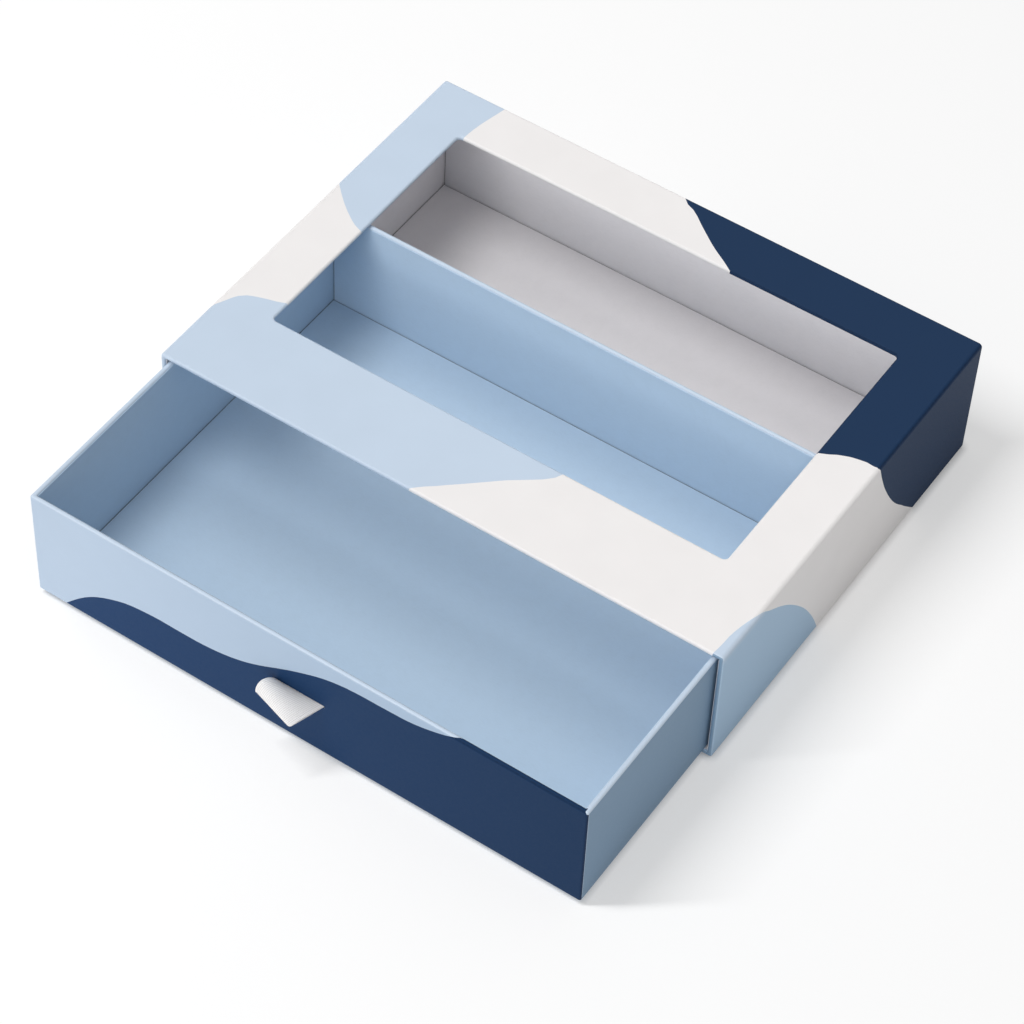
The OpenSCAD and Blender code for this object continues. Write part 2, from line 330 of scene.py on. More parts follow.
# %% [markdown]
# ## The printed papers
#
# The wraps are paper, printed and then covered with a matt film. The film hides most of the paper's
# fibres and leaves a faint orange peel and a soft, wide gloss. Where the sheet is folded round a board,
# the pale inks are painted a touch lighter: partly the ink and film stretched over the fold, partly a
# painted highlight, which is stronger on the drawer's front. The navy is painted a touch darker there, a
# painted shade where the fold takes it out of the lamps' sheen. The mesh brings that as a number called
# fold, which is 1 on the crest of a fold and 0 on the flat. The inks on the drawer's front are painted a
# little darker toward the right, a painted falloff of light, and the hill's blue is painted paler where it
# comes over the top edge, a painted highlight, so those inks fade between two colours along one axis.

# %% Printed paper finish
# Fold crests are painted lighter by this share: partly stretched ink and film, partly a painted highlight.
FOLD_WEAR_AND_HIGHLIGHT = 0.22
STRETCH_AND_HIGHLIGHT_WHITE, STRETCH_AND_HIGHLIGHT = 0.9, 0.55
INK_CLOUDS, FOLD_PATCHES, FILM_PEEL, PAPER_FIBRES = 45, 700, 900, 3200  # waves per metre
FIBRE_HEIGHT_MM, PEEL_HEIGHT_MM = 0.006, 0.004


def fade(tree, axis, start_mm, end_mm, first, second):
    """A colour that goes over into a second one along an axis of the piece."""
    place = add_node(tree, "TexCoord").outputs["Object"]
    along = add_node(tree, "SeparateXYZ", Vector=place).outputs[axis]
    return tint(tree, between(tree, along, 0, 1, start_mm * MM, end_mm * MM), first, second)


def printed_paper(name, colour, roughness, gloss=0.3, crest_strength=FOLD_WEAR_AND_HIGHLIGHT, into=None, crest=None):
    """A printed finish, with painted light or shade on its fold crests. into is a second colour with the
    axis and places of a painted fade to it.
    """
    material, tree, shader = start_material(name)
    place = place_on_piece(tree)
    cloud = between(tree, noise(tree, place, INK_CLOUDS, 3), 0, 1)
    inked = tint(tree, cloud, shade(colour, -0.012), shade(colour, 0.012))
    if into is not None:
        second, axis, start_mm, end_mm = into
        inked = fade(tree, axis, start_mm, end_mm, inked, second)
    # Fold crests go toward a lighter colour, a painted highlight with some real stretch, or toward the given
    # crest colour, which on navy is a painted shade.
    fold = add_node(tree, "Attribute", {"attribute_name": "fold"}).outputs["Fac"]
    patchy = between(tree, noise(tree, place, FOLD_PATCHES, 4), 0.35, 1.0)
    crest_share = calc(tree, "MULTIPLY", calc(tree, "MULTIPLY", fold, patchy), crest_strength)
    crest_colour = crest or tuple(c + (STRETCH_AND_HIGHLIGHT_WHITE - c) * STRETCH_AND_HIGHLIGHT for c in colour)
    tree.links.new(tint(tree, crest_share, inked, crest_colour), shader.inputs["Base Color"])
    film = noise(tree, place, FILM_PEEL, 2)
    tree.links.new(between(tree, film, roughness - 0.03, roughness + 0.03), shader.inputs["Roughness"])
    fibres = noise(tree, place_on_piece(tree, (1, 0.35, 1)), PAPER_FIBRES, 3, 0.6)
    grain = bump(tree, shader, fibres, FIBRE_HEIGHT_MM)
    bump(tree, shader, film, PEEL_HEIGHT_MM, under=grain)
    shader.inputs["IOR"].default_value = 1.45
    shader.inputs["Specular IOR Level"].default_value = gloss
    return material

# %% Mix the inks
PALE_BLUE = (0.544, 0.647, 0.775)
MID_BLUE = (0.388, 0.55, 0.722)
# Slate is a darker copy of the hill's blue, a painted shade for the drawer's outer sides and the mouth's
# rim.
SHADE_SLATE_BLUE = (0.205, 0.318, 0.45)
NAVY = (0.010, 0.033, 0.086)
WHITE = (0.850, 0.829, 0.823)
# The front's inks are darker than the top's and darker still toward the right: a painted falloff of light
# across the front.
FRONT_PALE_FALLOFF = ((0.460, 0.562, 0.693), (0.318, 0.430, 0.570))
FRONT_NAVY_FALLOFF = ((0.011, 0.0445, 0.129), (0.004, 0.027, 0.081))
# The front's fold crests get a stronger painted highlight, and the navy's fold crests a painted shade.
RIM_HIGHLIGHT = 0.5
NAVY_CREST_SHADE, NAVY_SHADE_STRENGTH = (0.004, 0.014, 0.042), 0.9
NAVY_GLOSS, NAVY_MATT = 0.14, 0.58
PALE_MATT, WHITE_MATT = 0.50, 0.52
# Each fade's axis and the two places, in millimetres, where it starts and ends.
FALLOFF_ACROSS_FRONT = ("X", -130, 146)
# The hill's ink is pale at the top edge and deepens over the first 5 mm down the side: a painted highlight
# on the top fold.
HIGHLIGHT_DOWN_SIDE = ("Z", SLEEVE_HIGH[2] - 0.5, SLEEVE_HIGH[2] - 5)
print_finish = {
    "pale": printed_paper("print_pale_blue", PALE_BLUE, PALE_MATT),
    "mid": printed_paper("print_mid_blue", PALE_BLUE, PALE_MATT, into=(MID_BLUE, *HIGHLIGHT_DOWN_SIDE)),
    "shade_slate": printed_paper("print_shade_slate_blue", SHADE_SLATE_BLUE, PALE_MATT),
    "navy": printed_paper("print_navy", NAVY, NAVY_MATT, NAVY_GLOSS, NAVY_SHADE_STRENGTH, None, NAVY_CREST_SHADE),
    "white": printed_paper("print_white", WHITE, WHITE_MATT),
    "front_pale_falloff": printed_paper(
        "print_front_blue_falloff", FRONT_PALE_FALLOFF[0], PALE_MATT, crest_strength=RIM_HIGHLIGHT, into=(FRONT_PALE_FALLOFF[1], *FALLOFF_ACROSS_FRONT)
    ),
    "front_navy_falloff": printed_paper(
        "print_front_navy_falloff", FRONT_NAVY_FALLOFF[0], NAVY_MATT, NAVY_GLOSS, NAVY_SHADE_STRENGTH,
        (FRONT_NAVY_FALLOFF[1], *FALLOFF_ACROSS_FRONT), NAVY_CREST_SHADE
    ),
}
print("printed papers:", sorted(print_finish))

# %% [markdown]
# ## Plain papers and board
#
# The linings are uncoated paper, dyed or white. They have no film, so the fibres show as a fine nap and
# the colour has faint clouds. Greyboard is pressed from waste paper: a grey ground with short dark and
# light fibres. Noise stretched along one axis gives such fibres without an image. The stay tape and the
# patch behind the ribbon are plain brown kraft paper.

# %% Plain paper finishes
LINING_BLUE = (0.485, 0.615, 0.752)
LINING_WHITE = (0.885, 0.862, 0.872)
KRAFT = (0.46, 0.33, 0.18)
# The board's grey is darker than common greyboard, so that where it shows in the narrow gaps between the
# linings it gives lines of painted shade.
BOARD_GREY_WITH_GAP_SHADE = (0.13, 0.125, 0.12)
BOARD_FIBRE_DARK = (0.06, 0.06, 0.06)
BOARD_FIBRE_LIGHT = (0.24, 0.23, 0.21)
PAPER_BACK = (0.80, 0.79, 0.77)
DYE_CLOUDS, NAP_STREAKS, NAP = 160, 2600, 3000  # waves per metre
BOARD_ALONG, BOARD_ACROSS = 1800, 1500
BOARD_ROUGH_MM = 0.05


def plain_paper(name, colour, clouds=0.02, nap_mm=0.012):
    """An uncoated paper; clouds is how far its colour varies and nap_mm how far its fibres stand up."""
    material, tree, shader = start_material(name)
    place = place_on_piece(tree)
    cloud = between(tree, noise(tree, place, DYE_CLOUDS, 4, 0.6), 0, 1)
    body = tint(tree, cloud, shade(colour, -clouds), shade(colour, clouds))
    streaks = noise(tree, place_on_piece(tree, (0.2, 1, 1)), NAP_STREAKS, 3)
    streak = between(tree, streaks, 0, 1, 0.35, 0.75)
    tree.links.new(tint(tree, streak, body, shade(colour, clouds * 1.5)), shader.inputs["Base Color"])
    nap = noise(tree, place, NAP, 4, 0.65)
    tree.links.new(between(tree, nap, 0.78, 0.9), shader.inputs["Roughness"])
    bump(tree, shader, nap, nap_mm)
    shader.inputs["Specular IOR Level"].default_value = 0.25
    shader.inputs["Sheen Weight"].default_value = 0.05
    shader.inputs["Sheen Roughness"].default_value = 0.6
    return material


def greyboard(name):
    """Pressed waste paper: a grey ground with dark fibres one way and light fibres the other."""
    material, tree, shader = start_material(name)
    along = noise(tree, place_on_piece(tree, (0.25, 1, 1)), BOARD_ALONG, 4, 0.7)
    across = noise(tree, place_on_piece(tree, (1, 0.25, 1)), BOARD_ACROSS, 4, 0.7)
    ground = tint(tree, between(tree, along, 0, 1), BOARD_GREY_WITH_GAP_SHADE, shade(BOARD_GREY_WITH_GAP_SHADE, 0.25))
    dark = between(tree, across, 0, 1, 0.58, 0.68)
    light = between(tree, along, 0, 1, 0.62, 0.72)
    with_dark = tint(tree, dark, ground, BOARD_FIBRE_DARK)
    tree.links.new(tint(tree, light, with_dark, BOARD_FIBRE_LIGHT), shader.inputs["Base Color"])
    tree.links.new(between(tree, across, 0.82, 0.95), shader.inputs["Roughness"])
    bump(tree, shader, along, BOARD_ROUGH_MM)
    shader.inputs["Specular IOR Level"].default_value = 0.2
    return material


lining_blue = plain_paper("lining_blue", LINING_BLUE)
lining_white = plain_paper("lining_white", LINING_WHITE)
kraft = plain_paper("kraft_paper", KRAFT, 0.08, 0.03)
paper_back = plain_paper("paper_back", PAPER_BACK)
board_finish = greyboard("greyboard")
plain_finishes = (lining_blue, lining_white, kraft, paper_back, board_finish)
print("plain papers and board:", [finish.name for finish in plain_finishes])

# %% [markdown]
# ## Finishes for the pieces that keep their shape
#
# The boards and the linings are already right in the construction model, so they only need a finish.
# A real board's cut edges are pressed soft by the wrap, so the boards also get a small flat bevel, which
# keeps their corners inside the rounded folds of the paper. On the slotted front board only the outer
# edges are bevelled, and there the model's triangles are first joined into whole faces.

# %% Dress the model's own pieces
def dress(node, material):
    """Gives a piece of the model its only finish."""
    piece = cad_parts[node]
    piece.data.materials.clear()
    piece.data.materials.append(material)


BOARD_SOFT, BOARD_PRESS, BOARD_STEPS = 0.97 * MM, 0.28, 4
SAME_PLACE = 1e-6
AT_CORNER = 0.01 * MM
SAME_PLANE, BOARD_EDGE = math.radians(1), math.radians(40)


def soften(node, slotted=False):
    """Presses a board's edges soft; on a slotted board only those that meet at its outer corners."""
    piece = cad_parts[node]
    weld = piece.modifiers.new("one_skin", "WELD")
    weld.merge_threshold = SAME_PLACE
    if slotted:
        clean = piece.modifiers.new("whole_faces", "DECIMATE")
        clean.decimate_type = "DISSOLVE"
        clean.angle_limit = SAME_PLANE
    edge = piece.modifiers.new("pressed_edges", "BEVEL")
    edge.width = BOARD_SOFT
    edge.segments = BOARD_STEPS
    edge.profile = BOARD_PRESS
    edge.use_clamp_overlap = False
    edge.limit_method = "ANGLE"
    edge.angle_limit = BOARD_EDGE
    if slotted:
        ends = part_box(node)
        outer = [
            v.index for v in piece.data.vertices
            if all(min(abs(c - a), abs(c - b)) < AT_CORNER for c, a, b in zip(v.co, *ends))
        ]
        piece.vertex_groups.new(name="corners").add(outer, 1, "REPLACE")
        edge.limit_method = "VGROUP"
        edge.vertex_group = "corners"


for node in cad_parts:
    if node.endswith("_board"):
        dress(node, board_finish)
        soften(node, slotted=node == "drawer_front_board")
    elif "_lining_" in node:
        dress(node, lining_blue if node.startswith("drawer") else lining_white)
dress("ribbon_patch", kraft)
dress("sleeve_base_sheet", print_finish["white"])
dress("drawer_base_sheet", print_finish["mid"])
print("boards softened:", sum(node.endswith("_board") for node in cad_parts))

# %% [markdown]
# ## Colour fields on the wraps
#
# The wrap is printed flat, then folded round the box, so a colour field runs on over each fold. It is
# drawn here on the flat sheet: s runs across the box and down its sides, t runs from the mouth to the
# back. A field's outline is a smooth curve through a few points, closed by corners out past the sheet.
# The fields are wide plain shapes with wavy edges, a common kind of ornament.

# %% Outlines on the flat sheet
def smooth(points, steps=10):
    """A curve through every point, rounded as a bent spline would be."""
    p = np.array(points, float)
    ends = np.vstack([2 * p[0] - p[1], p, 2 * p[-1] - p[-2]])
    out = []
    for a, b, c, d in zip(ends, ends[1:], ends[2:], ends[3:]):
        for k in range(steps):
            u = k / steps
            bend = 2 * a - 5 * b + 4 * c - d
            twist = 3 * b - a - 3 * c + d
            out.append(0.5 * (2 * b + (c - a) * u + bend * u**2 + twist * u**3))
    out.append(p[-1])
    return [tuple(q) for q in out]


def inside(outline, points):
    """Signed distance from each point to a closed outline, above zero inside it."""
    a = np.array(outline, float)
    b = np.roll(a, -1, axis=0)
    distance = np.full(len(points), np.inf)
    crossings = np.zeros(len(points), int)
    for (ax, ay), (bx, by) in zip(a, b):
        ex, ey = bx - ax, by - ay
        px, py = points[:, 0] - ax, points[:, 1] - ay
        along = np.clip((px * ex + py * ey) / max(ex * ex + ey * ey, 1e-12), 0, 1)
        distance = np.minimum(distance, np.hypot(px - along * ex, py - along * ey))
        if ay != by:
            hit = ((ay > points[:, 1]) != (by > points[:, 1])) & (px < ex * py / ey)
            crossings += hit
    return np.where(crossings % 2 == 1, distance, -distance)

# %% [markdown]
# ## Folding a sheet round boards
#
# A wrapped box is a thin skin with small round folds. It could be made by bevelling a box, but then the
# printed outlines would have to be cut into a curved mesh. It is easier the other way round: build the
# sharp skin as a grid on each plane, cut the print into the flat grid, and only then round the folds.
# The grid has close rows beside each fold, so that the fold comes out round.

# %% A skin of flat grids
FOLD_R, LONG_R = 1.15, 2.0
FOLD_ANGLES = (0, 11.25, 22.5, 33.75)
GRID_STEP = 4.0
TURN_IN = 15.0
WALL = 2.45
TINY = 1e-3


def grid_lines(low, high, folds, others=()):
    """Grid lines along one axis: close together beside each fold, GRID_STEP apart elsewhere."""
    rows = [FOLD_R * (1 - math.tan(math.radians(a))) for a in FOLD_ANGLES]
    exact = list(folds) + list(others) + [low, high]
    exact += [fold + side * row for fold in folds for row in rows for side in (-1, 1)]
    exact = sorted({round(v, 4) for v in exact if low - TINY <= v <= high + TINY})
    lines = []
    for a, b in zip(exact, exact[1:]):
        count = max(1, math.ceil((b - a) / GRID_STEP))
        lines += [a + (b - a) * k / count for k in range(count)]
    return lines + [exact[-1]]


class Skin:
    """A sheet of quads on the planes of a box, joined along its edges."""

    def __init__(self, lines):
        self.mesh = bmesh.new()
        self.lines = lines
        self.known = {}

    def corner(self, place):
        """The vertex at a place, which all quads there share."""
        key = tuple(round(c, 3) for c in place)
        if key not in self.known:
            self.known[key] = self.mesh.verts.new(place)
        return self.known[key]

    def plane(self, axis, value, facing, keep):
        """Quads on one plane wherever keep says so; keep gets the middle of a quad."""
        first, second = (axis + 1) % 3, (axis + 2) % 3
        for u0, u1 in zip(self.lines[first], self.lines[first][1:]):
            for v0, v1 in zip(self.lines[second], self.lines[second][1:]):
                middle = [0, 0, 0]
                middle[axis], middle[first], middle[second] = value, (u0 + u1) / 2, (v0 + v1) / 2
                if not keep(*middle):
                    continue
                quad = []
                for u, v in ((u0, v0), (u1, v0), (u1, v1), (u0, v1)):
                    place = [0, 0, 0]
                    place[axis], place[first], place[second] = value, u, v
                    quad.append(self.corner(place))
                self.mesh.faces.new(quad if facing > 0 else quad[::-1])

# %% [markdown]
# ## Cutting the print into a skin
#
# An outline is the line where a signed distance changes its sign. Each edge of the grid that crosses it is
# split there, at a place found by halving the edge again and again. A crossing close to a corner takes
# that corner, which leaves no slivers. The new points are then joined up across the quads.

# %% Cut along an outline
HALVINGS = 14
NEAR_CORNER = 0.04


def cut_along(mesh, field):
    """Cuts the sheet where field changes sign, so that a printed outline becomes real edges."""
    mesh.verts.ensure_lookup_table()
    mesh.verts.index_update()
    places = np.array([v.co for v in mesh.verts])
    value = field(places)
    edges = list(mesh.edges)
    ends = np.array([[v.index for v in e.verts] for e in edges])
    crossed = np.nonzero(value[ends[:, 0]] * value[ends[:, 1]] < 0)[0]
    a, b = places[ends[crossed, 0]], places[ends[crossed, 1]]
    low, high = np.zeros(len(crossed)), np.ones(len(crossed))
    side = value[ends[crossed, 0]]
    for _ in range(HALVINGS):
        half = (low + high) / 2
        same = field(a + (b - a) * half[:, None]) * side > 0
        low, high = np.where(same, half, low), np.where(same, high, half)
    marked = []
    for index, share in zip(crossed, (low + high) / 2):
        edge = edges[index]
        first, second = mesh.verts[ends[index, 0]], mesh.verts[ends[index, 1]]
        if share < NEAR_CORNER:
            marked.append(first)
        elif share > 1 - NEAR_CORNER:
            marked.append(second)
        else:
            marked.append((edge, first, share))
    points = []
    for item in marked:
        point = item
        if isinstance(item, tuple):
            point = bmesh.utils.edge_split(*item)[1]
        points.append(point)
    bmesh.ops.connect_verts(mesh, verts=list(dict.fromkeys(points)))
    return len(points)

# %% [markdown]
# ## Rounding the folds
#
# Rounding is one formula. Shrink the walls by the fold's radius, take the nearest point of those shrunk
# walls, and stand off from it by the radius again. The sleeve's two long top edges are folded wider. Their
# corner gets a curved row of thin rods in place of a sharp wall. A hole's upright corners are drawn in
# toward its middle, and the pull fades out over a few millimetres of the panel.

# %% Round the folds
ROD_COUNT = 7


def round_folds(mesh, walls):
    """Rounds every fold: walls are boxes already shrunk by the fold's radius."""
    fold = mesh.verts.layers.float.new("fold")
    verts = list(mesh.verts)
    places = np.array([v.co for v in verts])
    best, near = np.full(len(places), np.inf), places.copy()
    for low, high in walls:
        clamped = np.clip(places, low, high)
        gap = np.linalg.norm(places - clamped, axis=1)
        closer = gap < best
        best, near = np.where(closer, gap, best), np.where(closer[:, None], clamped, near)
    away = (places - near) / np.maximum(best, 1e-9)[:, None]
    crest = (1 - np.abs(away).max(axis=1)) / (1 - math.sqrt(0.5))
    for vert, place, share in zip(verts, near + away * FOLD_R, crest):
        vert.co = place
        vert[fold] = min(1, share)


def shrink(low, high):
    """A wall shrunk by the fold's radius on every side."""
    return np.array(low, float) + FOLD_R, np.array(high, float) - FOLD_R


def fold_rods(side, edge_x, edge_z, low_y, high_y):
    """Thin rods that carry a wider fold along one top edge."""
    rods = []
    for k in range(ROD_COUNT):
        angle = math.pi / 2 * (k + 1) / (ROD_COUNT + 1)
        x = side * (edge_x - LONG_R + (LONG_R - FOLD_R) * math.sin(angle))
        z = edge_z - LONG_R + (LONG_R - FOLD_R) * math.cos(angle)
        rods.append((np.array((x, low_y + FOLD_R, z)), np.array((x, high_y - FOLD_R, z))))
    return rods

# %% Round a hole's corners
CORNER_FADE = 6.0


def round_corners(mesh, corners, radius):
    """Draws the skin in at a hole's corners; each corner is x, y and the way to the hole's middle."""
    for x, y, to_x, to_y in corners:
        for vert in mesh.verts:
            a, b = (vert.co.x - x) * to_x, (vert.co.y - y) * to_y
            if max(a, b) > radius or min(a, b) < -CORNER_FADE:
                continue
            foot = max(a, b, 0)
            depth = math.hypot(min(a, b), min(max(a, b), 0))
            angle = math.radians(45) * (1 - foot / radius)
            inward = radius - radius * math.cos(angle)
            along = radius - radius * math.sin(angle) - foot
            share = min(1, max(0, (CORNER_FADE - depth) / (CORNER_FADE - 2 * FOLD_R)))
            if a < b:
                vert.co.x += to_x * inward * share
                vert.co.y += to_y * along * share
            else:
                vert.co.x += to_x * along * share
                vert.co.y += to_y * inward * share

# %% [markdown]
# ## From skin to paper
#
# A real sheet is printed on one side, and its back and cut edges stay plain. A Solidify modifier gives the
# skin that thickness inward, so that the outside stays where it was drawn. Edges that are still sharp, as
# at the slot, are marked, and the flat panels keep flat shading beside the round folds.

# %% Make a skin into paper
SKIN_T = 0.15
SHARP = math.radians(50)


def finish_skin(skin, name, body, node, inks):
    """Turns a skin into an object with paper thickness; inks lists its printed finishes."""
    mesh = skin.mesh
    bmesh.ops.transform(mesh, matrix=Matrix.Scale(MM, 4), verts=mesh.verts)
    for face in mesh.faces:
        face.smooth = True
    for edge in mesh.edges:
        if len(edge.link_faces) == 2 and edge.calc_face_angle() > SHARP:
            edge.smooth = False
    data = bpy.data.meshes.new(name)
    mesh.to_mesh(data)
    mesh.free()
    piece = add_object(name, data)
    for ink in inks:
        data.materials.append(print_finish[ink])
    data.materials.append(paper_back)
    paper = piece.modifiers.new("paper", "SOLIDIFY")
    paper.thickness = SKIN_T * MM
    paper.offset = -1
    paper.material_offset = paper.material_offset_rim = len(inks)
    flat = piece.modifiers.new("flat_panels", "WEIGHTED_NORMAL")
    flat.keep_sharp = True
    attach(piece, body)
    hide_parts(node)
    print(name, "has", len(data.polygons), "faces")
    return piece

# %% [markdown]
# ## The sleeve's wrap
#
# One sheet covers the sleeve's top, sides and back. It is folded in round the mouth and round the window,
# and folded under round the base. On the top, four fields meet at the window: pale blue in both left
# corners, white between them and along the front, and navy in the back right corner, which runs on down
# the right side. A mid blue hill stands on the right side at the mouth.

# %% Draw the sleeve's fields
WINDOW_SIDE, WINDOW_FRONT, WINDOW_BACK = 28.0, 47.0, 29.0
WINDOW_R = 2.2
HALF_W = SLEEVE_HIGH[0]
MOUTH, BACK = SLEEVE_LOW[1], SLEEVE_HIGH[1]
TOP = SLEEVE_HIGH[2]
WIN_X = HALF_W - WINDOW_SIDE
WIN_FRONT, WIN_BACK = MOUTH + WINDOW_FRONT, BACK - WINDOW_BACK
SHEET_END = 400

navy_field = smooth(
    [(-20, 205), (-28, 165), (-25, 132), (-10.8, 111.6), (-2.8, 106.9), (7.2, 99.3), (17.3, 92.1),
     (28.2, 85.6), (36, 79.5), (58, 60), (105, 6), (123.5, 11.3), (129.8, 14.7), (135.7, 17.2),
     (142.5, 18.6), (147.5, 18.6), (152.5, 19.8), (161, 23), (172.7, 28.3), (186, 35.8), (196, 42.8),
     (203, 49), (219, 64), (245, 92)]
) + [(SHEET_END, 92), (SHEET_END, SHEET_END), (-20, SHEET_END)]
back_blue_field = smooth(
    [(-92, 205), (-101, 170), (-110, 135), (-114.7, 111.4), (-119.2, 83.9), (-116, 45), (-113, 15),
     (-120.8, 4), (-134, 10), (-150.5, 25), (-160, 39), (-178, 54), (-200, 63), (-235, 68)]
) + [(-SHEET_END, 68), (-SHEET_END, SHEET_END), (-92, SHEET_END)]
front_blue_field = smooth(
    [(-262, -112), (-228, -109), (-196, -103), (-171, -94), (-156, -82), (-149.2, -74.5), (-142.7, -62.7),
     (-134.6, -58.2), (-121.7, -53.7), (-90, -38), (-30, -30), (20, -45), (37.7, -65.6), (17.2, -85.5),
     (-2.5, -103.3), (-11.4, -111.2), (-24, -126)]
) + [(-24, -300), (-262, -300)]
hill_field = smooth(
    [(141, -135), (144.8, -110.4), (145.7, -98.3), (148.5, -86.1), (151.8, -79), (155.1, -75.2),
     (163.1, -64.2), (172.6, -53.6), (187.3, -40.9), (202.1, -31.2), (216.8, -23.8), (240, -15)]
) + [(SHEET_END, -15), (SHEET_END, -300), (141, -300)]
sleeve_fields = [
    ("pale", back_blue_field), ("pale", front_blue_field), ("navy", navy_field), ("mid", hill_field)
]
print("fields on the sleeve:", [(ink, len(outline)) for ink, outline in sleeve_fields])

# %% [markdown]
# ## The sleeve's skin
#
# The folded sheet covers the outside, turns in at the mouth and the window, and turns under at the base.
# The solid of the construction model has the same planes, but its few large faces couldn't be rounded
# and printed. So each plane is laid out again as a grid, and a small test says which quads belong to it.

# %% Rule the sleeve's grid
SLEEVE_X, SLEEVE_LOW_Z, SLEEVE_TOP_Z = HALF_W - WALL, WALL, TOP - WALL


def sleeve_sheet(places):
    """Where each place on the sleeve lies on the flat sheet."""
    x, y, z = places.T
    drop = np.maximum(TOP - z, 0)
    on_back = y > BACK - TINY
    on_side = (np.abs(x) > HALF_W - WALL - TINY) & ~on_back
    s = np.where(on_side, np.sign(x) * (np.abs(x) + drop), x)
    t = np.where(on_back, y + drop, y)
    return np.column_stack([s, t])


def sleeve_lines():
    """Grid lines along x, y and z, with exact ones wherever a plane of the sheet ends."""
    long_rows = [LONG_R * (1 - math.tan(math.radians(a))) for a in FOLD_ANGLES]
    long_x = [side * (HALF_W - row) for side in (-1, 1) for row in long_rows]
    return (
        grid_lines(-HALF_W, HALF_W, (-HALF_W, -SLEEVE_X, -WIN_X, WIN_X, SLEEVE_X, HALF_W),
                   [-HALF_W + TURN_IN, HALF_W - TURN_IN, -WIN_X - TURN_IN, WIN_X + TURN_IN,
                    WINDOW_R - WIN_X, WIN_X - WINDOW_R] + long_x),
        grid_lines(MOUTH, BACK, (MOUTH, WIN_FRONT, WIN_BACK, BACK),
                   (MOUTH + TURN_IN, BACK - TURN_IN, WIN_FRONT - TURN_IN, WIN_BACK + TURN_IN,
                    WIN_FRONT + WINDOW_R, WIN_BACK - WINDOW_R)),
        grid_lines(0, TOP, (0, SLEEVE_LOW_Z, SLEEVE_TOP_Z, TOP), [TOP - row for row in long_rows]),
    )

# %% Lay out the sleeve's planes
def sleeve_planes():
    """The sleeve's sharp skin."""
    skin = Skin(sleeve_lines())

    def in_window(x, y, grow=0.0):
        return abs(x) < WIN_X + grow and WIN_FRONT - grow < y < WIN_BACK + grow

    def in_hollow(x, z):
        return abs(x) < SLEEVE_X and SLEEVE_LOW_Z < z < SLEEVE_TOP_Z

    def turned_in(y):
        return y < MOUTH + TURN_IN

    def turned_under(x, y, z):
        return abs(x) > HALF_W - TURN_IN or turned_in(y) or y > BACK - TURN_IN

    def on_window_wall(x, y, z):
        return abs(x) < WIN_X and z > SLEEVE_TOP_Z

    def on_ceiling(x, y, z):
        return abs(x) < SLEEVE_X and not in_window(x, y) and (turned_in(y) or in_window(x, y, TURN_IN))

    skin.plane(2, TOP, 1, lambda x, y, z: not in_window(x, y))
    skin.plane(2, 0, -1, turned_under)
    for side in (-1, 1):
        skin.plane(0, side * HALF_W, side, lambda x, y, z: True)
        skin.plane(0, side * SLEEVE_X, -side,
                   lambda x, y, z: turned_in(y) and SLEEVE_LOW_Z < z < SLEEVE_TOP_Z)
        skin.plane(0, side * WIN_X, -side,
                   lambda x, y, z: WIN_FRONT < y < WIN_BACK and z > SLEEVE_TOP_Z)
    skin.plane(1, BACK, 1, lambda x, y, z: True)
    skin.plane(1, MOUTH, -1, lambda x, y, z: not in_hollow(x, z))
    skin.plane(1, WIN_FRONT, 1, on_window_wall)
    skin.plane(1, WIN_BACK, -1, on_window_wall)
    skin.plane(2, SLEEVE_TOP_Z, -1, on_ceiling)
    skin.plane(2, SLEEVE_LOW_Z, 1, lambda x, y, z: abs(x) < SLEEVE_X and turned_in(y))
    return skin


sleeve_skin = sleeve_planes()
print("sleeve's skin:", len(sleeve_skin.mesh.faces), "quads")

# %% [markdown]
# ## The sleeve's inks
#
# The fields could be painted by a shader from the flat sheet's coordinates. As edges in the mesh they stay
# sharp at any distance, and each face needs only one ink as its material. A face takes the ink of the last
# field that it lies in. The strips turned under the base are white. The hill runs on over the rim of the
# mouth and into the strip turned in behind it, in a deeper slate ink that is a painted shade.

# %% Print the sleeve
SLEEVE_INKS = ["white", "pale", "navy", "mid", "shade_slate"]


def print_sleeve(skin):
    """Cuts the fields into the skin and gives each face its ink."""
    for _, outline in sleeve_fields:
        cuts = cut_along(skin.mesh, lambda places, o=outline: inside(o, sleeve_sheet(places)))
        print("  cut", cuts, "edges")
    faces = list(skin.mesh.faces)
    centres = np.array([f.calc_center_median() for f in faces])
    middles = sleeve_sheet(centres)
    chosen = np.zeros(len(faces), int)
    for ink, outline in sleeve_fields:
        chosen[inside(outline, middles) > 0] = SLEEVE_INKS.index(ink)
    chosen[centres[:, 2] < TINY] = SLEEVE_INKS.index("white")
    sideways = np.array([abs(f.normal.x) > 0.9 for f in faces])
    on_rim = centres[:, 1] < MOUTH + TINY
    on_turn_in = sideways & (np.abs(centres[:, 0]) < HALF_W - TINY)
    on_hill = chosen == SLEEVE_INKS.index("mid")
    # The hill's part on the mouth's rim and turn-in takes the slate ink, a painted shade.
    chosen[(on_rim | on_turn_in) & on_hill] = SLEEVE_INKS.index("shade_slate")
    for face, ink in zip(faces, chosen):
        face.material_index = int(ink)


print_sleeve(sleeve_skin)

# %% [markdown]
# ## The sleeve's folds
#
# A tight wrap follows the boards, so the walls that the folds are rounded over are those of the boxed
# boards. The top is a frame of four walls that stop short of the two long edges, and the rods carry the
# wider fold there. A bevel could round the folds as well, but it would drag the edges of the print along.

